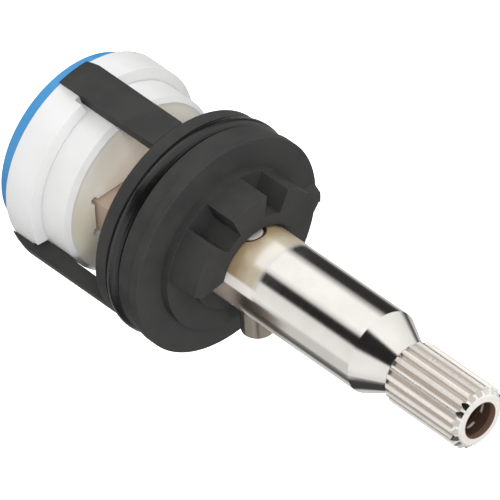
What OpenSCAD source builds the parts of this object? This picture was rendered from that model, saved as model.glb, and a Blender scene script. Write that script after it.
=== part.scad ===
// Diverter cartridge with ceramic discs for a wall-mounted bath and shower valve.
// It stands on its outlet seal, with the spindle along +Z and the origin on the axis.
// All sizes are in millimetres.

/* [Outlet seal] */
// How far the blue seal's outside lies inside the stator disc's
seal_inset = 1.3; // [1.2:0.05:2.2]
// How far the seal stands out behind the stator disc
seal_proud = 2.3; // [1.5:0.1:3]
// How deep the seal sits in the stator disc
seal_seat = 1.0; // [0.6:0.1:1.2]
// Radial width of the seal's ring
seal_ring_w = 2.3; // [1.6:0.1:2.6]
// Width of the bridge between the two outlets
seal_bridge_w = 3.2; // [2.4:0.1:4]

/* [Ceramic discs] */
// Thickness of the stator disc
stator_t = 5.0; // [4.2:0.1:6]
// How much smaller the rotor disc's radius is than the stator disc's
rotor_step = 1.45; // [1.3:0.05:2]
// Thickness of the rotor disc
rotor_t = 4.7; // [4.5:0.1:6]
// Width of the bevel round the stator disc's front edge
stator_bevel_w = 1.2; // [0.4:0.1:1.3]
// Height of the bevel round the stator disc's front edge
stator_bevel_h = 0.5; // [0.3:0.1:1]
// Bevel round the rotor disc's front edge
rotor_bevel = 0.6; // [0.3:0.05:1]
// Radius from the axis to the middle of each flow port
port_mid_r = 7.1; // [6.9:0.1:7.3]
// Radial width of each flow port
port_w = 4.8; // [4.4:0.1:5]
// Half of the angle between the round ends of a flow port
port_half_angle = 20; // [14:1:22]
// Lapped film between the two ceramic faces
lap_gap = 0.02; // [0.01:0.01:0.05]

/* [Driving tongue] */
// Half of the tongue's length across the axis
tongue_half_l = 7.4; // [6.6:0.1:7.6]
// Half of the tongue's width
tongue_half_w = 2.3; // [2:0.1:2.5]
// How deep the slot for the tongue goes into the rotor disc
slot_depth = 2.6; // [2:0.1:3]
// Clearance between the tongue and its slot
slot_gap = 0.25; // [0.1:0.05:0.3]
// Radius of the relief drilled in each corner of the slot
slot_relief_r = 0.55; // [0.4:0.05:0.6]

/* [Housing] */
// Radius of the legs and of the collar's land
body_r = 14.7; // [14.4:0.1:15]
// Thickness of a leg beside the stator disc
leg_wall = 0.9; // [0.8:0.05:1.1]
// Thickness of a leg beside the open chamber
leg_t = 2.1; // [1.8:0.1:2.4]
// Angle from the first leg to each of the other two
leg_spacing = 117.5; // [112:0.5:124]
// Length of the open chamber in front of the rotor disc
chamber_l = 7.5; // [7:0.1:9]
// Length of the collar from its rear face to its front face
collar_l = 8.2; // [7.8:0.1:8.8]
// How far the lip round the collar's front stands out from its land
lip_h = 0.4; // [0.3:0.05:0.6]
// Width of the lip
lip_w = 1.6; // [1.2:0.1:1.9]
// Angle that one leg takes up
leg_angle = 19.2; // [16:0.2:24]
// Running clearance between a leg and the rotor disc
leg_gap = 0.15; // [0.1:0.05:0.3]
// How far each leg reaches past the stator disc's rear face
leg_reach = 0.2; // [0:0.1:0.8]
// Distance from the stator disc's rear face to the legs' inner step
leg_step = 3.4; // [2.8:0.1:3.8]
// Angle that the stator disc's keyways leave free on each side of a leg
key_side = 3; // [0.5:0.5:4]
// Height of the key tab on the collar's rim
tab_h = 1.1; // [0.8:0.1:1.6]

/* [Collar seal] */
// Section of the collar's sealing ring
collar_ring_d = 2.3; // [2:0.05:2.4]
// How far the collar's sealing ring stands out past the lip
collar_ring_proud = 0.05; // [0.02:0.01:0.3]
// Distance from the collar's rear face to the groove
groove_z = 1.95; // [1.6:0.05:2.2]
// Width of the groove
groove_w = 2.45; // [2.4:0.05:2.8]

/* [Crown] */
// Radius of the crown in front of the collar
crown_r = 11.0; // [10:0.1:11.5]
// Height of the crown's high part above the collar's front face
crown_h = 6.0; // [5.4:0.1:7]
// Bevel round the bore at the crown's front
bore_bevel = 0.5; // [0.4:0.1:1]
// Bevel at the outer ends of the crown's high part
crown_end_bevel = 1.2; // [0.6:0.1:2]
// Height of the rib round the bore where the pin passes over it
liner_h = 2.4; // [2:0.1:2.4]
// Height of the crown's foot in the open part
crown_foot_h = 1.2; // [1:0.1:2]
// Radius of the rib round the bore
liner_r = 7.6; // [7:0.1:8.2]
// Clearance between the stop pin's head and the crown's end walls
stop_gap = 0.1; // [0.05:0.05:0.3]
// Angle from the middle of the crown to the middle of each notch
notch_at = 25; // [22:1:34]
// Angle that one notch takes up
notch_angle = 20; // [12:1:22]

/* [Spindle] */
// Radius of the spindle's shank
shank_r = 5.7; // [5.4:0.05:5.8]
// Radial clearance of the shank in the housing's bore
bore_gap = 0.05; // [0.02:0.01:0.1]
// Distance from the crown's front to the cone
shank_l = 21.8; // [18:0.1:26]
// Half angle of the cone
cone_angle = 27.5; // [25:0.5:40]
// Radius of the neck behind the teeth
neck_r = 3.37; // [3.2:0.05:3.6]
// Radius over the teeth
teeth_r = 4.38; // [4.2:0.02:4.5]
// Depth of the teeth
tooth_h = 0.55; // [0.4:0.05:0.7]
// Number of teeth
tooth_count = 20; // [16:1:24]
// Length of the toothed end
teeth_l = 12.75; // [11:0.05:15]
// Radius of the flat end face
end_r = 3.4; // [3.2:0.05:3.8]
// Length of the bevel in front of the teeth
end_bevel_l = 0.8; // [0.4:0.1:1.4]
// Radius of the tapped hole for the handle's screw
screw_hole_r = 2.5; // [2.1:0.05:2.6]
// Depth of the tapped hole
screw_hole_l = 12; // [8:0.5:14]
// Radius of the spindle's foot
foot_r = 8.6; // [8.2:0.1:8.8]
// Thickness of the spindle's foot
foot_t = 3.0; // [2.4:0.1:3.2]
// Turn of the spindle and rotor disc from their middle position
rest_turn = -5; // [-90:1:90]

/* [Spindle seals and washer] */
// Section of each sealing ring on the spindle
shaft_ring_d = 1.5; // [1.3:0.05:1.6]
// Width of each groove for a sealing ring
shaft_groove_w = 1.9; // [1.8:0.05:2]
// Distance from the bore's rear shoulder to the rear sealing ring
rear_ring_at = 2.0; // [1.2:0.1:3]
// Distance between the two sealing rings
ring_spacing = 3.6; // [2.6:0.1:4]
// Thickness of the slip washer in front of the foot
washer_t = 0.8; // [0.5:0.1:1]

/* [Stop pin] */
// Radius of the cross pin that stops the turn
pin_r = 1.5; // [1.2:0.05:1.6]
// Radius of the pin's head
pin_head_r = 2.2; // [1.8:0.1:2.2]
// Distance from the axis to the head's free end
pin_reach = 11.0; // [9:0.1:12]
// Distance from the pin's axis back from the crown's front
pin_back = 1.2; // [1:0.1:1.2]

/* [Hidden] */
eps = 0.01;
rounds = 96;
first_leg_at = -90;
crown_at = first_leg_at;

// Radii that follow from the housing's own
lip_r = body_r + lip_h;
stator_room_r = body_r - leg_wall;
stator_r = stator_room_r - 0.05;
rotor_r = stator_r - rotor_step;
rotor_room_r = rotor_r + leg_gap;
leg_in_r = body_r - leg_t;
seal_r = stator_r - seal_inset;

// Stations along the axis, from the sealing face to the spindle's end
stator_z = seal_proud;
rotor_z = stator_z + stator_t + lap_gap;
chamber_z = rotor_z + rotor_t;
collar_z = chamber_z + chamber_l;
collar_front_z = collar_z + collar_l;
crown_z = collar_front_z + crown_h;
cone_z = crown_z + shank_l;
cone_l = (shank_r - neck_r) / tan(cone_angle);
teeth_z = cone_z + cone_l + 0.3;
end_z = teeth_z + teeth_l;

// Steps inside the legs, and the keyways that they fill in the stator disc
leg_step_z = stator_z + leg_step;
key_gap = 0.1;
tip_wall = 0.15;
tip_bevel_l = 2.4;

// Foot, washer and bore inside the housing
foot_room_r = foot_r + 0.3;
washer_z = collar_z + 0.4;
shoulder_z = washer_z + washer_t + lap_gap;
foot_z = washer_z - foot_t;
bore_r = shank_r + bore_gap;
tongue_z = chamber_z - slot_depth + 0.3;

// Sealing rings on the spindle
shaft_ring_out_r = shank_r + 0.02;
shaft_groove_r = shaft_ring_out_r - shaft_ring_d;
rear_ring_z = shoulder_z + rear_ring_at;
front_ring_z = rear_ring_z + ring_spacing;

// Cross pin, the spot face under its head and the recess round its flush end
pin_z = crown_z - pin_back;
spot_face_y = shank_r - 0.5;
flush_end_y = shank_r - 0.15;
flush_recess_r = pin_r + 0.25;

module sector(r, height, half_angle, inner_r = 0) {
    rotate([0, 0, -half_angle])
        rotate_extrude(angle = 2 * half_angle, $fn = rounds)
            translate([inner_r, 0]) square([r - inner_r, height]);
}

module ring(r_out, r_in, height) {
    difference() {
        cylinder(r = r_out, h = height, $fn = rounds);
        translate([0, 0, -eps]) cylinder(r = r_in, h = height + 2 * eps, $fn = rounds);
    }
}

module o_ring(outside_r, section_d) {
    rotate_extrude($fn = rounds)
        translate([outside_r - section_d / 2, 0]) circle(d = section_d, $fn = 32);
}

module at_each_leg() {
    for (i = [-1 : 1])
        rotate([0, 0, first_leg_at + i * leg_spacing]) children();
}

// A kidney-shaped port with round ends, on the +X side of the axis
module flow_port(z, height) {
    translate([0, 0, z]) {
        sector(port_mid_r + port_w / 2, height, port_half_angle, port_mid_r - port_w / 2);
        for (side = [-1, 1])
            rotate([0, 0, side * port_half_angle])
                translate([port_mid_r, 0, 0]) cylinder(d = port_w, h = height, $fn = 48);
    }
}

module bevelled_disc(r, height, bevel_w, bevel_h) {
    cylinder(r = r, h = height - bevel_h, $fn = rounds);
    translate([0, 0, height - bevel_h])
        cylinder(r1 = r, r2 = r - bevel_w, h = bevel_h, $fn = rounds);
}

module turned_to_rest() {
    rotate([0, 0, rest_turn]) children();
}

// Ring and bridge of the seal, grown all round by gap
module seal_shape(height, gap = 0) {
    ring(seal_r + gap, seal_r - seal_ring_w - gap, height);
    intersection() {
        cylinder(r = seal_r - seal_ring_w / 2, h = height, $fn = rounds);
        translate([-seal_bridge_w / 2 - gap, -seal_r, 0])
            cube([seal_bridge_w + 2 * gap, 2 * seal_r, height]);
    }
}

module outlet_seal() {
    color([0.20, 0.55, 0.84]) seal_shape(seal_proud + seal_seat);
}

module stator_disc() {
    seat_gap = 0.08;
    color([0.95, 0.95, 0.94])
    difference() {
        translate([0, 0, stator_z]) bevelled_disc(stator_r, stator_t, stator_bevel_w, stator_bevel_h);
        translate([0, 0, stator_z - eps]) seal_shape(seal_seat + eps, seat_gap);
        for (side = [0, 180])
            rotate([0, 0, side]) flow_port(stator_z - eps, stator_t + 2 * eps);
        at_each_leg()
            translate([0, 0, leg_step_z - key_gap])
                sector(stator_r + 1, stator_t, leg_angle / 2 + key_side, rotor_room_r - key_gap);
    }
}

// Rectangular slot with a round relief in each corner
module tongue_slot() {
    half_l = tongue_half_l + slot_gap;
    half_w = tongue_half_w + slot_gap;
    translate([0, 0, chamber_z - slot_depth]) {
        translate([-half_l, -half_w, 0]) cube([2 * half_l, 2 * half_w, slot_depth + eps]);
        for (x = [-half_l, half_l], y = [-half_w, half_w])
            translate([x, y, 0]) cylinder(r = slot_relief_r, h = slot_depth + eps, $fn = 24);
    }
}

module rotor_disc() {
    color([0.95, 0.95, 0.94]) turned_to_rest()
    difference() {
        translate([0, 0, rotor_z]) bevelled_disc(rotor_r, rotor_t, rotor_bevel, rotor_bevel);
        rotate([0, 0, 90]) flow_port(rotor_z - eps, rotor_t + 2 * eps);
        tongue_slot();
    }
}

// One leg: thin at the stator disc, thicker in front of its step, bevelled at the tip
module leg() {
    root = 0.35;
    tip_z = stator_z - leg_reach;
    rotate([0, 0, -leg_angle / 2])
        rotate_extrude(angle = leg_angle, $fn = rounds)
            polygon([
                [stator_room_r, tip_z],
                [stator_room_r + tip_wall, tip_z],
                [(stator_room_r + 2 * body_r) / 3, tip_z + tip_bevel_l / 2],
                [body_r, tip_z + tip_bevel_l],
                [body_r, collar_z - 0.05],
                [body_r - root, collar_z - 0.05 + root],
                [leg_in_r, collar_z + root],
                [leg_in_r, chamber_z + 0.3],
                [rotor_room_r, chamber_z],
                [rotor_room_r, leg_step_z],
                [stator_room_r, leg_step_z]
            ]);
}

// Collar with its groove, lip and bevels, and the crown's foot, as one turned outline
module collar() {
    groove_bottom_r = lip_r + collar_ring_proud - collar_ring_d;
    lip_z = collar_front_z - lip_w;
    foot_top_z = collar_front_z + crown_foot_h;
    edge = 0.2;
    rim = 0.1;
    rotate_extrude($fn = rounds)
        polygon([
            [bore_r - 1, shoulder_z],
            [foot_room_r, shoulder_z],
            [foot_room_r, collar_z],
            [body_r - edge, collar_z],
            [body_r, collar_z + edge],
            [body_r, collar_z + groove_z],
            [groove_bottom_r, collar_z + groove_z],
            [groove_bottom_r, collar_z + groove_z + groove_w],
            [body_r, collar_z + groove_z + groove_w],
            [body_r, lip_z],
            [lip_r, lip_z + edge],
            [lip_r, collar_front_z - rim],
            [lip_r - rim, collar_front_z],
            [crown_r + edge, collar_front_z],
            [crown_r + edge / 2, foot_top_z],
            [liner_r, foot_top_z],
            [liner_r, collar_front_z + liner_h],
            [bore_r - 1, collar_front_z + liner_h]
        ]);
}

// High side of the crown: three blocks with a notch between each two, ending in the two
// flat walls that stop the pin's head
module crown_blocks() {
    sunk = 0.6;
    notch_in_r = liner_r + 0.1;
    end_wall = pin_head_r + stop_gap;
    wall_half = sqrt(crown_r * crown_r - end_wall * end_wall) - crown_end_bevel;
    translate([0, 0, collar_front_z - sunk])
        rotate([0, 0, crown_at])
            difference() {
                intersection() {
                    cylinder(r = crown_r, h = crown_h + sunk, $fn = rounds);
                    linear_extrude(2 * crown_h)
                        polygon([
                            [end_wall, -wall_half],
                            [end_wall + crown_r, -wall_half - crown_r],
                            [3 * crown_r, -3 * crown_r],
                            [3 * crown_r, 3 * crown_r],
                            [end_wall + crown_r, wall_half + crown_r],
                            [end_wall, wall_half]
                        ]);
                }
                for (side = [-1, 1])
                    rotate([0, 0, side * notch_at])
                        translate([0, 0, -sunk])
                            sector(2 * crown_r, 2 * crown_h, notch_angle / 2, notch_in_r);
            }
}

// Small wedge on the collar's rim that keys the cartridge in its nut
module key_tab() {
    tab_at = 170.3;
    tab_w = 3.5;
    tab_in_r = lip_r - 2.4;
    sunk = 0.5;
    translate([0, 0, collar_front_z])
        intersection() {
            translate([0, 0, -sunk]) ring(lip_r - 0.3, tab_in_r, tab_h + 2 * sunk);
            rotate([90, 0, tab_at + 90])
                linear_extrude(2 * lip_r)
                    polygon([
                        [-tab_w / 2, -sunk / 2],
                        [tab_w / 2, -sunk / 2],
                        [tab_w / 2, 0],
                        [tab_w / 4, tab_h],
                        [-tab_w / 6, tab_h],
                        [-tab_w / 2, 0]
                    ]);
        }
}

module housing() {
    color([0.17, 0.17, 0.17])
    difference() {
        union() {
            at_each_leg() leg();
            collar();
            crown_blocks();
            key_tab();
        }
        translate([0, 0, collar_z])
            cylinder(r = bore_r, h = crown_z - collar_z + 1, $fn = rounds);
        translate([0, 0, crown_z - bore_bevel - 0.2])
            cylinder(r1 = bore_r - 0.2, r2 = bore_r + bore_bevel + 0.2, h = bore_bevel + 0.4, $fn = rounds);
    }
}

module collar_o_ring() {
    color([0.10, 0.09, 0.08])
        translate([0, 0, collar_z + groove_z + groove_w / 2])
            o_ring(lip_r + collar_ring_proud, collar_ring_d);
}

module teeth_outline() {
    root_r = teeth_r - tooth_h;
    pitch = 360 / tooth_count;
    polygon([
        for (i = [0 : tooth_count - 1])
            for (p = [[-0.39, root_r], [-0.07, teeth_r], [0.07, teeth_r], [0.39, root_r]])
                p[1] * [cos((i + p[0]) * pitch), sin((i + p[0]) * pitch)]
    ]);
}

// Toothed end, bevelled behind and in front
module toothed_end() {
    rear_bevel = 0.5;
    first_tooth_at = 11;
    translate([0, 0, teeth_z])
        intersection() {
            rotate([0, 0, first_tooth_at]) linear_extrude(teeth_l) teeth_outline();
            union() {
                cylinder(r1 = teeth_r - rear_bevel, r2 = teeth_r + eps, h = rear_bevel, $fn = rounds);
                translate([0, 0, rear_bevel])
                    cylinder(r = teeth_r + eps, h = teeth_l - rear_bevel - end_bevel_l, $fn = rounds);
                translate([0, 0, teeth_l - end_bevel_l])
                    cylinder(r1 = teeth_r + eps, r2 = end_r, h = end_bevel_l, $fn = rounds);
            }
        }
}

// Turned outline of the foot, shank, cone and neck, with both sealing grooves
module turned_spindle() {
    half_groove = shaft_groove_w / 2;
    rotate_extrude($fn = rounds)
        polygon([
            [0, foot_z],
            [foot_r - 0.3, foot_z],
            [foot_r, foot_z + 0.3],
            [foot_r, washer_z],
            [shank_r, washer_z],
            [shank_r, rear_ring_z - half_groove],
            [shaft_groove_r, rear_ring_z - half_groove],
            [shaft_groove_r, rear_ring_z + half_groove],
            [shank_r, rear_ring_z + half_groove],
            [shank_r, front_ring_z - half_groove],
            [shaft_groove_r, front_ring_z - half_groove],
            [shaft_groove_r, front_ring_z + half_groove],
            [shank_r, front_ring_z + half_groove],
            [shank_r, cone_z],
            [neck_r, cone_z + cone_l],
            [neck_r, teeth_z + 1],
            [0, teeth_z + 1]
        ]);
}

module spindle() {
    color([0.78, 0.77, 0.74]) turned_to_rest()
    difference() {
        union() {
            turned_spindle();
            toothed_end();
            translate([-tongue_half_l, -tongue_half_w, tongue_z])
                cube([2 * tongue_half_l, 2 * tongue_half_w, foot_z - tongue_z + eps]);
        }
        translate([0, 0, end_z - screw_hole_l])
            cylinder(r = screw_hole_r, h = screw_hole_l + eps, $fn = 48);
        translate([0, 0, pin_z]) rotate([90, 0, 0]) {
            cylinder(r = pin_r, h = 4 * shank_r, center = true, $fn = 48);
            translate([0, 0, flush_end_y - 0.4])
                cylinder(r = flush_recess_r, h = shank_r, $fn = 48);
            translate([0, 0, -spot_face_y - shank_r])
                cylinder(r = pin_head_r + 0.05, h = shank_r, $fn = 48);
        }
    }
}

module slip_washer() {
    color([0.85, 0.80, 0.62])
        translate([0, 0, washer_z]) ring(foot_r - 0.2, bore_r + 0.1, washer_t);
}

module rear_spindle_o_ring() {
    color([0.10, 0.09, 0.08])
        translate([0, 0, rear_ring_z]) o_ring(shaft_ring_out_r, shaft_ring_d);
}

module front_spindle_o_ring() {
    color([0.10, 0.09, 0.08])
        translate([0, 0, front_ring_z]) o_ring(shaft_ring_out_r, shaft_ring_d);
}

// Nearly flush with the shank behind the crown's high side, with its head on the open side
module stop_pin() {
    pin_bevel = 0.2;
    head_bevel = 0.3;
    color([0.70, 0.68, 0.64]) turned_to_rest()
        translate([0, 0, pin_z]) rotate([-90, 0, 0]) {
            translate([0, 0, -flush_end_y])
                cylinder(r1 = pin_r - pin_bevel, r2 = pin_r, h = pin_bevel, $fn = 48);
            translate([0, 0, pin_bevel - flush_end_y])
                cylinder(r = pin_r, h = flush_end_y + spot_face_y, $fn = 48);
            translate([0, 0, spot_face_y])
                cylinder(r = pin_head_r, h = pin_reach - spot_face_y - head_bevel, $fn = 48);
            translate([0, 0, pin_reach - head_bevel])
                cylinder(r1 = pin_head_r, r2 = pin_head_r - head_bevel, h = head_bevel, $fn = 48);
        }
}

outlet_seal();
stator_disc();
rotor_disc();
housing();
collar_o_ring();
spindle();
slip_washer();
rear_spindle_o_ring();
front_spindle_o_ring();
stop_pin();
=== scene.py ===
# Diverter cartridge: finish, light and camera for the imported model.
import math

import bpy
from mathutils import Matrix, Vector


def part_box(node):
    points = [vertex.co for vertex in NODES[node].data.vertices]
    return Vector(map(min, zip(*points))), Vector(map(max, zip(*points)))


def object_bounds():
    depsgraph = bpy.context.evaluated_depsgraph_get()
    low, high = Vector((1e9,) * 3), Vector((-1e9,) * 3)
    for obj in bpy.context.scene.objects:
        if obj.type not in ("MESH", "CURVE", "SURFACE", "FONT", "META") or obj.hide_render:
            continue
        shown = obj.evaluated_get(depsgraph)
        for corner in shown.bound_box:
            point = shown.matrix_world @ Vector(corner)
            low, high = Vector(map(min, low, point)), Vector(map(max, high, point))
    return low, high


MM = 0.001

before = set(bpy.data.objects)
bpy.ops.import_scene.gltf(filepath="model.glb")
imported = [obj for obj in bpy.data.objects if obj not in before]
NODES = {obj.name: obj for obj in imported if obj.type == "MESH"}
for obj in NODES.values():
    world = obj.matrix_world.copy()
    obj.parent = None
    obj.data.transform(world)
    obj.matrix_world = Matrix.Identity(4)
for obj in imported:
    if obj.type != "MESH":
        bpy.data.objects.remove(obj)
CAD_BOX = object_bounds()


# Places on the model, from its nodes

SPINDLE_END_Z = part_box("spindle")[1].z
CROWN_FRONT_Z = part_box("housing")[1].z
FOOT_FRONT_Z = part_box("slip_washer")[0].z  # the washer lies on the front of the spindle's foot
ROTOR_FACE_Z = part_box("rotor_disc")[1].z
ROTOR_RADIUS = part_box("rotor_disc")[1].x
PIN_Z = sum(corner.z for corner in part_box("stop_pin")) / 2
PIN_FLUSH_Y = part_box("stop_pin")[0].y  # its end without a head


# Camera. The photograph is close to a parallel view, so the lens is very long.

VIEW_AZIMUTH = math.radians(29.7)
VIEW_ELEVATION = math.radians(34.05)
AXIS_BELOW_LEVEL = math.radians(34.65)  # how far the spindle falls below level in the picture
PHOTO_PX = 500
PHOTO_WIDTH = 61.7 * MM  # width of the whole picture at the object
AIM_Z = CROWN_FRONT_Z - 6.3 * MM  # a point on the axis, just behind the collar's front face
AIM_PX = Vector((225.4, 244.2))  # where that point lies in the picture
LENS = 1200.0


def make_camera():
    """Looks along the photograph's direction, rolled so that the spindle points down to the right."""
    back = Vector((
        math.sin(VIEW_AZIMUTH) * math.cos(VIEW_ELEVATION),
        -math.cos(VIEW_AZIMUTH) * math.cos(VIEW_ELEVATION),
        math.sin(VIEW_ELEVATION),
    ))
    up_axis = Vector((0, 0, 1))
    along = (up_axis - back * up_axis.dot(back)).normalized()
    across = back.cross(along)
    right = along * math.cos(AXIS_BELOW_LEVEL) + across * math.sin(AXIS_BELOW_LEVEL)
    up = back.cross(right)
    data = bpy.data.cameras.new("camera")
    data.lens = LENS
    data.clip_start = 0.01
    data.clip_end = 20
    camera = bpy.data.objects.new("camera", data)
    bpy.context.scene.collection.objects.link(camera)
    per_px = PHOTO_WIDTH / PHOTO_PX
    shift = Vector((PHOTO_PX / 2, PHOTO_PX / 2)) - AIM_PX
    target = Vector((0, 0, AIM_Z)) + right * shift.x * per_px - up * shift.y * per_px
    distance = LENS / data.sensor_width * PHOTO_WIDTH
    rotation = Matrix((right, up, back)).transposed().to_4x4()
    camera.matrix_world = Matrix.Translation(target + back * distance) @ rotation
    bpy.context.scene.camera = camera
    return right, up, back


RIGHT, UP, BACK = make_camera()


# Shader helpers


def srgb(red, green, blue):
    """A colour given as 0 to 255 screen values, in the linear values that shaders take."""
    def linear(value):
        share = value / 255
        return share / 12.92 if share <= 0.04045 else ((share + 0.055) / 1.055) ** 2.4
    return (linear(red), linear(green), linear(blue), 1.0)


class Shader:
    """A node tree, emptied first, with short calls for adding and joining nodes."""

    def __init__(self, tree):
        tree.nodes.clear()
        self.tree = tree

    def add(self, kind, **settings):
        node = self.tree.nodes.new(kind)
        for name, value in settings.items():
            setattr(node, name, value)
        return node

    def put(self, value, socket):
        """Joins an output to a socket, or sets the socket to a plain value."""
        if isinstance(value, bpy.types.NodeSocket):
            self.tree.links.new(value, socket)
        elif value is not None:
            socket.default_value = value

    def fill(self, node, values):
        """Puts the values into the node's sockets, in their order, and returns its first output."""
        for value, socket in zip(values, node.inputs):
            self.put(value, socket)
        return node.outputs[0]

    def math(self, operation, *values):
        return self.fill(self.add("ShaderNodeMath", operation=operation), values)

    def times(self, first, *others):
        for other in others:
            first = self.math("MULTIPLY", first, other)
        return first

    def without(self, mask):
        """1 where the mask is 0, and 0 where it is 1."""
        return self.math("SUBTRACT", 1.0, mask)

    def blend(self, first, second, share):
        """The first value where share is 0, and the second where it is 1."""
        return self.math("MULTIPLY_ADD", self.math("SUBTRACT", second, first), share, first)

    def build_up(self, base, parts):
        """Adds to the base each value times its amount."""
        for value, amount in parts:
            base = self.math("MULTIPLY_ADD", value, amount, base)
        return base

    def spread(self, value, low, high, to_low=0.0, to_high=1.0):
        """Maps value from low to high onto to_low to to_high, with soft ends."""
        node = self.add("ShaderNodeMapRange", interpolation_type="SMOOTHSTEP")
        return self.fill(node, (value, low, high, to_low, to_high))

    def vary(self, noise, first, second):
        """A value that a noise moves between first and second."""
        return self.spread(noise, 0.3, 0.7, first, second)

    def mix(self, share, first, second):
        node = self.add("ShaderNodeMix", data_type="RGBA")
        self.put(share, node.inputs["Factor"])
        self.put(first, node.inputs["A"])
        self.put(second, node.inputs["B"])
        return node.outputs["Result"]

    def tint(self, noise, first, second):
        """A colour that a noise moves between first and second."""
        return self.mix(self.vary(noise, 0.0, 1.0), first, second)

    def paint(self, colour, coats):
        """Lays each coat over the colour, by its mask times its share."""
        for mask, share, coat in coats:
            colour = self.mix(self.times(mask, share), colour, coat)
        return colour

    def noise(self, vector, scale, detail=2.0):
        node = self.add("ShaderNodeTexNoise")
        self.put(vector, node.inputs["Vector"])
        node.inputs["Scale"].default_value = scale
        node.inputs["Detail"].default_value = detail
        return node.outputs["Fac"]

    def place(self):
        return self.add("ShaderNodeTexCoord").outputs["Object"]

    def split(self, vector):
        node = self.add("ShaderNodeSeparateXYZ")
        self.put(vector, node.inputs[0])
        return node.outputs

    def scaled(self, vector, scale):
        node = self.add("ShaderNodeMapping")
        self.put(vector, node.inputs["Vector"])
        node.inputs["Scale"].default_value = scale
        return node.outputs["Vector"]

    def distance(self, x, y):
        """How far a place lies from the middle, from its two coordinates."""
        return self.math("SQRT", self.math("ADD", self.times(x, x), self.times(y, y)))

    def toward(self, x, y, angle):
        """How far a place lies from the middle in the direction at this angle from the X axis."""
        return self.math("ADD", self.times(x, math.cos(angle)), self.times(y, math.sin(angle)))

    def turned_place(self, vector, around, fine):
        """Coordinates of a turned surface: angle round Z, then distance out and height, each scaled."""
        x, y, z = self.split(vector)
        angle = self.math("ARCTAN2", y, x)
        scaled = (self.times(angle, around), self.times(self.distance(x, y), fine), self.times(z, fine))
        return self.fill(self.add("ShaderNodeCombineXYZ"), scaled)

    def bump(self, height, distance, strength, under=None):
        node = self.add("ShaderNodeBump")
        self.put(under, node.inputs["Normal"])
        node.inputs["Strength"].default_value = strength
        node.inputs["Distance"].default_value = distance
        self.put(height, node.inputs["Height"])
        return node.outputs["Normal"]

    def edge_wear(self, radius):
        """About 1 on a sharp edge and 0 on a flat face, from the angle between rounded and true normals."""
        bevel = self.add("ShaderNodeBevel", samples=6)
        bevel.inputs["Radius"].default_value = radius
        geometry = self.add("ShaderNodeNewGeometry")
        dot = self.add("ShaderNodeVectorMath", operation="DOT_PRODUCT")
        self.put(bevel.outputs["Normal"], dot.inputs[0])
        self.put(geometry.outputs["True Normal"], dot.inputs[1])
        return self.spread(dot.outputs["Value"], 0.98, 0.75)

    def choose(self, share, first, second):
        """The first shader where share is 0, and the second where it is 1."""
        return self.fill(self.add("ShaderNodeMixShader"), (share, first, second))

    def show(self, output, kind="ShaderNodeOutputMaterial"):
        """Joins the finished shader to the tree's output."""
        self.put(output, self.add(kind).inputs["Surface"])


def new_material(name):
    """A material whose node tree is still empty, with the calls to fill it."""
    material = bpy.data.materials.new(name)
    material.use_nodes = True
    return material, Shader(material.node_tree)


def solid_material(name):
    """A material with one Principled shader, the calls to fill its tree, and that shader's sockets."""
    material, shader = new_material(name)
    principled = shader.add("ShaderNodeBsdfPrincipled")
    shader.show(principled.outputs["BSDF"])
    return material, shader, principled.inputs


# Plastic, ceramic and rubber

GREASE_SHADE_TURN = math.radians(30)  # direction in which painted shade darkens the rotor's film of grease, from the X axis


def moulded_plastic():
    """Matt dark grey housing: fine spark texture, a little lighter on worn edges."""
    material, shader, surface = solid_material("moulded_plastic")
    place = shader.place()
    grain = shader.noise(place, 9000, 3.0)
    cloud = shader.noise(place, 260, 3.0)
    colour = shader.mix(shader.spread(cloud, 0.35, 0.65), srgb(53, 53, 53), srgb(58, 58, 57))
    colour = shader.paint(colour, [(shader.edge_wear(0.12 * MM), 0.35, srgb(88, 88, 86))])
    shader.put(colour, surface["Base Color"])
    shader.put(shader.vary(cloud, 0.44, 0.56), surface["Roughness"])
    surface["Specular IOR Level"].default_value = 0.08
    shader.put(shader.bump(grain, 0.012 * MM, 0.6), surface["Normal"])
    return material


def ground_ceramic():
    """White alumina with a fine ground bloom. The rotor's driven face has a thin film of grease, which is
    cream; painted shade darkens it towards one side."""
    material, shader, surface = solid_material("ground_ceramic")
    place = shader.place()
    x, y, height = shader.split(place)
    cloud = shader.noise(place, 180, 4.0)
    grind = shader.noise(shader.turned_place(place, 3.0, 9000.0), 1.0)
    radius = shader.distance(x, y)
    on_face = shader.spread(height, ROTOR_FACE_Z - 0.09 * MM, ROTOR_FACE_Z - 0.01 * MM)
    off_rim = shader.spread(radius, ROTOR_RADIUS - 0.5 * MM, ROTOR_RADIUS - 1.4 * MM, 0.35, 1.0)
    # painted shade: the cream grease turns darker towards one side of the rotor's face
    darker = shader.spread(shader.toward(x, y, GREASE_SHADE_TURN), 3 * MM, 9 * MM)
    grease = shader.mix(darker, srgb(253, 251, 241), srgb(226, 223, 203))
    colour = shader.mix(shader.spread(cloud, 0.35, 0.7), srgb(218, 218, 218), srgb(214, 214, 213))
    colour = shader.paint(colour, [(shader.times(on_face, off_rim), 0.95, grease)])
    shader.put(colour, surface["Base Color"])
    shader.put(shader.vary(cloud, 0.30, 0.40), surface["Roughness"])
    shader.put(shader.bump(grind, 0.004 * MM, 0.5), surface["Normal"])
    return material


def blue_rubber():
    """Blue silicone seal: slightly cloudy, soft sheen."""
    material, shader, surface = solid_material("blue_rubber")
    place = shader.place()
    cloud = shader.noise(place, 300, 3.0)
    colour = shader.tint(cloud, srgb(62, 140, 195), srgb(71, 149, 203))
    shader.put(colour, surface["Base Color"])
    shader.put(shader.vary(cloud, 0.38, 0.5), surface["Roughness"])
    shader.put(shader.bump(shader.noise(place, 4000), 0.01 * MM, 0.4), surface["Normal"])
    return material


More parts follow.
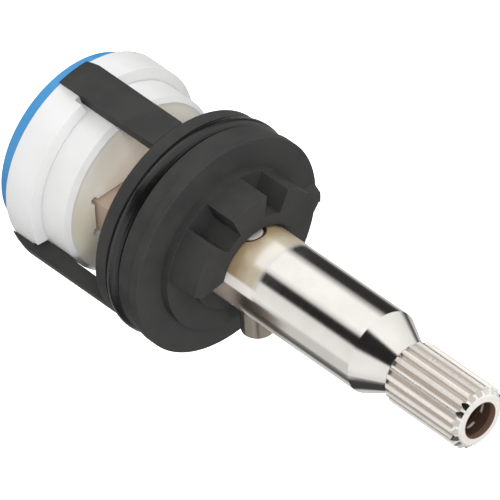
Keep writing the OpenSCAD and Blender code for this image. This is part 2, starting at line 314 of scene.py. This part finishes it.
def black_rubber():
    """Black O-rings: greased, so they shine softly in patches."""
    material, shader, surface = solid_material("black_rubber")
    place = shader.place()
    grease = shader.noise(shader.turned_place(place, 3.0, 500.0), 1.0, 3.0)
    colour = shader.tint(grease, srgb(12, 11, 11), srgb(20, 19, 18))
    shader.put(colour, surface["Base Color"])
    shader.put(shader.vary(grease, 0.20, 0.34), surface["Roughness"])
    surface["Specular IOR Level"].default_value = 0.62
    shader.put(shader.bump(shader.noise(place, 3500), 0.006 * MM, 0.5), surface["Normal"])
    return material


def washer_plastic():
    """Natural low-friction plastic of the slip washer."""
    material, shader, surface = solid_material("washer_plastic")
    cloud = shader.noise(shader.place(), 500, 3.0)
    colour = shader.tint(cloud, srgb(224, 214, 180), srgb(232, 224, 196))
    shader.put(colour, surface["Base Color"])
    shader.put(shader.vary(cloud, 0.35, 0.45), surface["Roughness"])
    return material


# Spindle and pin

SHANK_RADIUS = 5.7 * MM
FILM_Z = CROWN_FRONT_Z + 5.18 * MM  # where the warm film on the shank ends
TEETH_Z = SPINDLE_END_Z - 12.75 * MM  # rear end of the teeth
TOOTH_COUNT = 20
FIRST_TOOTH = 6 / 360  # turn of the first tooth from the X axis, in whole turns
ROOT_RADIUS = 3.83 * MM  # at the bottom of the teeth
END_BEVEL_Z = SPINDLE_END_Z - 0.8 * MM  # where the turned bevel in front of the teeth begins
END_FACE_RADIUS = 3.4 * MM
HOLE_RADIUS = 2.5 * MM
THREAD_PITCH = 1.0 * MM
LEDGE_Z = SPINDLE_END_Z - 2.18 * MM  # where the first thread turn lies, with a painted highlight along it
GLINT_HALF = 0.17 * MM  # half the height of that painted highlight
GLINT_TURN = math.radians(123)  # middle between the painted highlight's two stretches, from the X axis
PIN_TURN = math.radians(-5)  # turn of the cross pin from the Y axis
RECESS_RADIUS = 1.75 * MM  # of the recess round the pin's flush end, painted dark as shade


class SpindleZones:
    """Maps over the spindle's surface, and where each finish, painted reflection, painted highlight and
    painted shade lies: 1 inside a zone, 0 outside it.
    """

    def __init__(self, shader):
        self.place = shader.place()
        self.x, self.y, self.height = shader.split(self.place)
        self.radius = shader.distance(self.x, self.y)
        self.turn = shader.times(shader.math("ARCTAN2", self.y, self.x), 0.5 / math.pi)
        self.lines = shader.noise(shader.turned_place(self.place, 0.8, 16000.0), 1.0, 3.0)
        self.rolled = shader.noise(shader.scaled(self.place, (2200, 2200, 5200)), 1.0, 3.0)
        self.cloud = shader.noise(self.place, 220, 3.0)
        self.find_shank(shader)
        self.find_teeth(shader)
        self.find_hole(shader)
        self.find_recess_shade(shader)

    def find_shank(self, shader):
        """A warm film on the crown's side, partly grease and partly painted reflection, a painted brown
        reflection next to it, and the brown foot and tongue. Facing is 1 on the side of the crown's middle
        block and -1 at the back."""
        facing = shader.math("DIVIDE", shader.times(self.y, -1.0), self.radius)
        from_middle = shader.math("SUBTRACT", shader.math("DIVIDE", self.x, self.radius), 0.14)
        ragged = shader.math("MULTIPLY_ADD", shader.noise(self.place, 420, 3.0), 2.4 * MM, self.height)
        # partly painted reflection: the film's edge, its flank tone and its tan face follow the side the
        # shank faces, as reflected bands do; its thinning and ragged deep tone by the crown are grease
        self.film = shader.times(shader.spread(self.height, FILM_Z, FILM_Z - 1.4 * MM),
                                 shader.spread(facing, 0.27, 0.34))
        self.film_thin = shader.spread(self.height, FILM_Z - 3.3 * MM, FILM_Z - 2.0 * MM)
        self.film_flank = shader.spread(shader.math("ABSOLUTE", from_middle), 0.28, 0.44)
        self.film_deep = shader.spread(ragged, FILM_Z - 0.9 * MM, FILM_Z - 3.8 * MM)
        self.painted_tan_reflection = shader.spread(facing, 0.50, 0.56)
        # painted reflection: a brown, less metallic tone on the shank's sides by the crown stands in for a
        # dark reflected band
        self.painted_brown_reflection = shader.times(shader.spread(self.height, FILM_Z + 6.2 * MM, FILM_Z + 2.8 * MM),
                                  shader.spread(facing, 0.34, 0.24), shader.spread(facing, -0.7, -0.3))
        self.brown_reflection_depth = shader.spread(self.height, FILM_Z - 1.7 * MM, FILM_Z - 5.5 * MM)
        self.foot = shader.spread(self.height, FOOT_FRONT_Z + 3 * MM, FOOT_FRONT_Z)

    def find_teeth(self, shader):
        """Rough rolled teeth, with painted shade and some patina in their roots and, in patches, painted
        shade where they run out at their rear end, and the bevel and flat face in front of them. A whole
        tooth pitch is 1 in from_crest."""
        self.toothed = shader.spread(self.height, TEETH_Z - 0.5 * MM, TEETH_Z + 0.2 * MM)
        bevel = shader.spread(self.height, END_BEVEL_Z - 0.05 * MM, END_BEVEL_Z + 0.05 * MM)
        outside_hole = shader.spread(self.radius, HOLE_RADIUS + 0.4 * MM, HOLE_RADIUS + 0.5 * MM)
        self.teeth = shader.times(shader.math("SUBTRACT", self.toothed, bevel), outside_hole)
        from_crest = shader.math("MULTIPLY_ADD", self.turn, TOOTH_COUNT, -FIRST_TOOTH * TOOTH_COUNT)
        from_crest = shader.math("PINGPONG", from_crest, 0.5)
        self.crests = shader.times(self.teeth, shader.spread(from_crest, 0.13, 0.08))
        root = shader.spread(self.radius, ROOT_RADIUS + 0.35 * MM, ROOT_RADIUS + 0.09 * MM)
        # painted shade with some brown patina: the roots of the teeth are darker, as the valleys see less
        # light
        self.roots = shader.times(self.teeth, root)
        # painted shade in patches where the valleys run out at the rear end of the teeth
        rear_end = shader.spread(self.height, TEETH_Z + 0.75 * MM, TEETH_Z + 0.3 * MM)
        patchy = shader.spread(shader.noise(self.place, 900, 1.0), 0.34, 0.44)
        self.runout_shade = shader.times(self.roots, patchy, rear_end)
        flat = shader.spread(self.radius, END_FACE_RADIUS + 0.22 * MM, END_FACE_RADIUS + 0.14 * MM)
        tooth_gap = shader.spread(from_crest, 0.33, 0.38)
        self.end_face = shader.times(bevel, shader.math("MAXIMUM", flat, tooth_gap))

    def find_hole(self, shader):
        """The tapped hole, with a painted highlight in two stretches on its first thread turn."""
        inside = shader.spread(self.radius, HOLE_RADIUS + 0.12 * MM, HOLE_RADIUS + 0.04 * MM)
        self.hole = shader.times(inside, self.toothed)
        edge = shader.math("COMPARE", self.height, LEDGE_Z, GLINT_HALF)
        side = shader.math("DIVIDE", shader.toward(self.x, self.y, GLINT_TURN), self.radius)
        bright = shader.times(shader.spread(side, 0.64, 0.76), shader.spread(side, 0.975, 0.935))
        self.thread_glint = shader.times(self.hole, edge, bright)

    def find_recess_shade(self, shader):
        """Painted shade in the recess round the pin's flush end."""
        above = shader.math("SUBTRACT", self.height, PIN_Z)
        from_pin = shader.distance(above, shader.toward(self.x, self.y, PIN_TURN))
        near_side = shader.spread(self.y, 1.3 * MM - SHANK_RADIUS, 0.9 * MM - SHANK_RADIUS)
        disc = shader.spread(from_pin, RECESS_RADIUS + 0.29 * MM, RECESS_RADIUS + 0.17 * MM)
        self.recess_shade = shader.times(disc, near_side)


def spindle_colour(shader, zones):
    """Clean plate, with each film, worn place, painted reflection, painted shade and painted highlight laid
    over it.
    """
    plate = shader.tint(zones.cloud, srgb(241, 237, 231), srgb(248, 245, 240))
    # grease that thins away from the crown and deepens by it, with painted reflection in the flank tone and
    # the tan face
    film = shader.mix(zones.film_thin, srgb(214, 200, 174), srgb(238, 233, 223))
    film = shader.mix(zones.film_flank, film, srgb(198, 186, 159))
    film = shader.mix(zones.film_deep, film, srgb(152, 126, 84))
    film = shader.mix(zones.painted_tan_reflection, srgb(248, 241, 234), film)
    worn = shader.times(zones.toothed, shader.spread(zones.rolled, 0.35, 0.7))
    return shader.paint(plate, [
        (zones.film, 0.9, film),
        # painted brown reflection by the crown
        (zones.painted_brown_reflection, 0.85, srgb(176, 158, 142)),
        (zones.foot, 0.9, srgb(188, 166, 146)),
        (worn, 0.5, srgb(236, 224, 214)),
        # painted shade, with some patina, in the roots of the teeth
        (zones.roots, 0.8, srgb(180, 168, 157)),
        # painted shade where the teeth run out
        (zones.runout_shade, 0.85, srgb(52, 42, 36)),
        # painted shade in the recess round the pin
        (zones.recess_shade, 1.0, srgb(58, 42, 30)),
        (zones.hole, 1.0, srgb(120, 95, 80)),
        # painted highlight on the first thread turn
        (zones.thread_glint, 1.0, srgb(214, 204, 196)),
    ])


def spindle_metal(shader, zones):
    """1 on clean plate, less under film and painted brown reflection and on the foot, teeth and end face, and
    less in the hole;
    none in the painted shade round the pin and on the painted highlight of the hole's edge."""
    # painted brown reflection: the plate is less metallic there
    dulled_by_brown_reflection = shader.times(zones.painted_brown_reflection, shader.math("ADD", zones.brown_reflection_depth, 0.11))
    metal = shader.build_up(1.0, [
        (zones.film, -0.68),
        (shader.times(zones.film, zones.film_deep), -0.18),
        (zones.foot, -0.5),
        (zones.teeth, -0.46),
        (zones.crests, 0.3),
        (dulled_by_brown_reflection, -0.6),
        (zones.hole, -0.3),
        (zones.end_face, -0.45),
    ])
    return shader.times(metal, shader.without(zones.recess_shade), shader.without(zones.thread_glint))


def spindle_roughness(shader, zones):
    """Smooth plate, rougher on the foot, film and end face, in the hole and on the teeth but for their
    crests."""
    return shader.build_up(shader.vary(zones.lines, 0.10, 0.16), [
        (zones.foot, 0.22),
        (zones.film, 0.34),
        (zones.teeth, 0.4),
        (zones.crests, -0.24),
        (zones.end_face, 0.25),
        (zones.hole, 0.3),
    ])


def spindle_relief(shader, zones):
    """Turning lines all over, the grain of the rolled teeth, and the thread behind its first turn."""
    thread = shader.math("MULTIPLY_ADD", zones.height, 1 / THREAD_PITCH, zones.turn)
    thread = shader.math("PINGPONG", thread, 0.5)
    threaded = shader.times(zones.hole, shader.math("LESS_THAN", zones.height, LEDGE_Z))
    relief = shader.bump(zones.lines, 0.0022 * MM, 0.5)
    relief = shader.bump(shader.times(zones.rolled, zones.teeth), 0.03 * MM, 0.8, relief)
    return shader.bump(shader.times(thread, threaded), 0.25 * MM, 0.8, relief)


def nickel_plate():
    """Bright nickel on turned brass: turning lines, a warm film by the crown that is partly painted
    reflection, a painted brown reflection beside it, rougher rolled teeth with bright crests and painted
    shade and some patina in their roots, a dark tapped hole with a painted highlight on its first thread
    turn, and painted shade round the pin."""
    material, shader, surface = solid_material("nickel_plate")
    zones = SpindleZones(shader)
    shader.put(spindle_colour(shader, zones), surface["Base Color"])
    shader.put(spindle_metal(shader, zones), surface["Metallic"])
    shader.put(spindle_roughness(shader, zones), surface["Roughness"])
    shader.put(spindle_relief(shader, zones), surface["Normal"])
    return material


def pin_steel():
    """Drawn steel pin: warm grey with fine lines along it, and a paler, duller flush end."""
    material, shader, surface = solid_material("pin_steel")
    place = shader.place()
    lines = shader.noise(shader.scaled(place, (9000, 300, 9000)), 1.0)
    flush = shader.spread(shader.split(place)[1], PIN_FLUSH_Y + 0.54 * MM, PIN_FLUSH_Y + 0.34 * MM)
    colour = shader.tint(lines, srgb(154, 145, 134), srgb(167, 158, 147))
    colour = shader.mix(flush, colour, srgb(196, 190, 182))
    shader.put(colour, surface["Base Color"])
    shader.put(shader.build_up(0.9, [(flush, -0.7)]), surface["Metallic"])
    shader.put(shader.build_up(shader.vary(lines, 0.14, 0.24), [(flush, 0.22)]), surface["Roughness"])
    shader.put(shader.bump(lines, 0.003 * MM, 0.5), surface["Normal"])
    return material


FINISHES = {
    moulded_plastic: ["housing"],
    ground_ceramic: ["stator_disc", "rotor_disc"],
    blue_rubber: ["outlet_seal"],
    black_rubber: ["collar_o_ring", "rear_spindle_o_ring", "front_spindle_o_ring"],
    nickel_plate: ["spindle"],
    pin_steel: ["stop_pin"],
    washer_plastic: ["slip_washer"],
}


def dress_nodes():
    """Gives each node its finish, as one material for all that share it."""
    for finish, names in FINISHES.items():
        material = finish()
        for name in names:
            mesh = NODES[name].data
            mesh.materials.clear()
            mesh.materials.append(material)


dress_nodes()


# Floor, world and lamps

FLOOR_HALF = 3.0  # metres from the middle to each side
FLOOR_DROP = 0.02 * MM  # keeps the floor clear of the seal
FLOOR_LIFT = 0.9  # brings the pale floor up to white for the camera alone
WHITE = (1, 1, 1, 1)
STUDIO_GREY = (0.8, 0.8, 0.8, 1)
PLAIN_LEVEL = 0.52  # of the even light from all sides

# What polished metal sees up to its own level, above it and overhead: stops of degrees round the spindle
# from the camera's side, and brightness
STUDIO_LOW = [
    (-180, 0.55), (-150, 0.55), (-142, 0.08), (-128, 0.03), (-96, 0.03), (-84, 0.50), (-72, 0.98),
    (-16, 0.98), (-5, 0.70), (2, 0.018), (24, 0.018), (32, 0.76), (72, 0.84), (80, 0.60), (112, 0.58),
    (122, 0.10), (134, 0.10), (144, 0.60), (180, 0.55),
]
STUDIO_HIGH = [
    (-180, 0.68), (-60, 0.95), (-30, 0.95), (-22, 0.016), (24, 0.016), (32, 0.84), (100, 0.84),
    (108, 0.10), (140, 0.10), (150, 0.70), (180, 0.68),
]
STUDIO_OVERHEAD = [(-180, 0.62), (-54, 0.62), (-46, 0.01), (46, 0.01), (54, 0.62), (180, 0.62)]
STUDIO_LEVEL = 1.32

# How high a direction points, from -1 to 1, where one of them gives way to the next
LOW_TO_HIGH = (0.05, 0.2)
HIGH_TO_OVERHEAD = (0.5, 0.65)

# A dark flag in front of them at one side: degrees, how much of the wall it hides, and its two soft ends
SIDE_FLAG = [(-180, 0.0), (103, 0.0), (110, 1.0), (140, 1.0), (148, 0.0), (180, 0.0)]
SIDE_FLAG_FOOT = (-0.46, -0.36)
SIDE_FLAG_TOP = (0.22, 0.12)
SIDE_FLAG_LEVEL = 0.045

CARD_DISTANCE = 60 * MM  # from the spindle's axis
CARD_STEPS = 24
CARD_FADE = 4 * MM  # height over which a card's top fades out


def add_mesh(name, corners, faces, material):
    """Adds a mesh with one material to the scene."""
    mesh = bpy.data.meshes.new(name)
    mesh.from_pydata(corners, [], faces)
    mesh.materials.append(material)
    piece = bpy.data.objects.new(name, mesh)
    bpy.context.scene.collection.objects.link(piece)
    return piece


def make_floor():
    """A pale floor just under the seal, clear from below; polished metal sees the studio past it."""
    material, shader = new_material("floor")
    pale = shader.add("ShaderNodeBsdfPrincipled")
    pale.inputs["Base Color"].default_value = (0.93, 0.93, 0.93, 1)
    pale.inputs["Roughness"].default_value = 0.9
    pale.inputs["Specular IOR Level"].default_value = 0.0
    pale.inputs["Emission Color"].default_value = WHITE
    seen = shader.add("ShaderNodeLightPath").outputs["Is Camera Ray"]
    shader.put(shader.times(seen, FLOOR_LIFT), pale.inputs["Emission Strength"])
    clear = shader.add("ShaderNodeBsdfTransparent")
    from_below = shader.add("ShaderNodeNewGeometry").outputs["Backfacing"]
    shader.show(shader.choose(from_below, pale.outputs["BSDF"], clear.outputs["BSDF"]))
    corners = [(x * FLOOR_HALF, y * FLOOR_HALF, 0) for x, y in ((-1, -1), (1, -1), (1, 1), (-1, 1))]
    floor = add_mesh("floor", corners, [(0, 1, 2, 3)], material)
    floor.location.z = CAD_BOX[0].z - FLOOR_DROP
    floor.visible_glossy = False


def round_wall(shader, share, stops):
    """The level at a share of the way round, from stops in degrees joined by straight lines."""
    ramp = shader.add("ShaderNodeFloatCurve")
    curve = ramp.mapping.curves[0]
    while len(curve.points) < len(stops):
        curve.points.new(0.5, 0.5)
    for point, (degrees, level) in zip(curve.points, stops):
        point.location = (degrees / 360 + 0.5, level)
        point.handle_type = "VECTOR"
    ramp.mapping.update()
    shader.put(share, ramp.inputs["Value"])
    return ramp.outputs["Value"]


def studio_level(shader):
    """The brightness that polished metal sees in each direction."""
    x, y, z = shader.split(shader.add("ShaderNodeTexCoord").outputs["Generated"])
    turn = shader.math("SUBTRACT", shader.math("ARCTAN2", y, x), math.atan2(BACK.y, BACK.x))
    turn = shader.math("WRAP", turn, math.pi, -math.pi)
    share = shader.math("MULTIPLY_ADD", turn, 0.5 / math.pi, 0.5)
    lower = shader.spread(turn, -0.8, -1.2, 0.0, 0.25)  # the dark flag on that side stands lower
    low, high, overhead, side_flag = (
        round_wall(shader, share, stops) for stops in (STUDIO_LOW, STUDIO_HIGH, STUDIO_OVERHEAD, SIDE_FLAG)
    )
    level = shader.blend(low, high, shader.spread(shader.math("ADD", z, lower), *LOW_TO_HIGH))
    level = shader.blend(level, overhead, shader.spread(z, *HIGH_TO_OVERHEAD))
    side_flag = shader.times(side_flag, shader.spread(z, *SIDE_FLAG_FOOT), shader.spread(z, *SIDE_FLAG_TOP))
    return shader.times(shader.blend(level, SIDE_FLAG_LEVEL, side_flag), STUDIO_LEVEL)


def make_world():
    """Even soft light all round, and white for the camera. Reflections see tall dark flags between white
    walls."""
    world = bpy.data.worlds.new("studio")
    bpy.context.scene.world = world
    world.use_nodes = True
    shader = Shader(world.node_tree)

    def background(colour, strength):
        return shader.fill(shader.add("ShaderNodeBackground"), (colour, strength))

    path = shader.add("ShaderNodeLightPath")
    even = background(STUDIO_GREY, PLAIN_LEVEL)
    reflected = background(STUDIO_GREY, studio_level(shader))
    lit = shader.choose(path.outputs["Is Glossy Ray"], even, reflected)
    seen = shader.choose(path.outputs["Is Camera Ray"], lit, background(WHITE, 1.0))
    shader.show(seen, "ShaderNodeOutputWorld")


def make_card(name, start, end, low, high, level):
    """A curved card round the spindle that only reflections see, from start to end in degrees from the
    camera's side, and from low to high, where it fades out."""
    material, shader = new_material(name)
    height = shader.split(shader.place())[2]
    glow = shader.fill(shader.add("ShaderNodeEmission"), (WHITE, level))
    clear = shader.add("ShaderNodeBsdfTransparent").outputs["BSDF"]
    shader.show(shader.choose(shader.spread(height, high - CARD_FADE, high), glow, clear))
    facing = math.atan2(BACK.y, BACK.x)
    corners = []
    for step in range(CARD_STEPS + 1):
        angle = facing + math.radians(start + (end - start) * step / CARD_STEPS)
        for z in (low, high):
            corners.append((CARD_DISTANCE * math.cos(angle), CARD_DISTANCE * math.sin(angle), z))
    faces = [(2 * step, 2 * step + 2, 2 * step + 3, 2 * step + 1) for step in range(CARD_STEPS)]
    card = add_mesh(name, corners, faces, material)
    for ray in ("camera", "diffuse", "transmission", "volume_scatter", "shadow"):
        setattr(card, "visible_" + ray, False)


def add_lamp(name, direction, distance, size, watts):
    """A square lamp that faces the middle of the part, unseen in reflections; distance and size in metres."""
    data = bpy.data.lights.new(name, "AREA")
    data.size = size
    data.energy = watts
    lamp = bpy.data.objects.new(name, data)
    toward = direction.normalized()
    lamp.location = (CAD_BOX[0] + CAD_BOX[1]) / 2 + toward * distance
    lamp.rotation_mode = "QUATERNION"
    lamp.rotation_quaternion = toward.to_track_quat("Z", "Y")
    lamp.visible_glossy = False
    bpy.context.scene.collection.objects.link(lamp)


make_floor()
make_world()
make_card("pale_card", -150, 60, -14 * MM, -0.5 * MM, 0.62)
make_card("dark_card", 80, 120, -14 * MM, 6 * MM, 0.02)
add_lamp("key", BACK + UP * 0.1 + RIGHT * 0.06, 0.7, 0.25, 2.45)
add_lamp("top", BACK * 0.35 + UP * 0.85 + RIGHT * 0.45, 0.6, 0.45, 1.95)
add_lamp("fill", BACK * 0.5 - UP * 0.85, 0.7, 0.45, 1.1)
add_lamp("front", BACK * 0.85 + RIGHT * 0.82 - UP * 0.57, 0.7, 0.35, 1.9)

bpy.context.scene.view_settings.view_transform = "Standard"
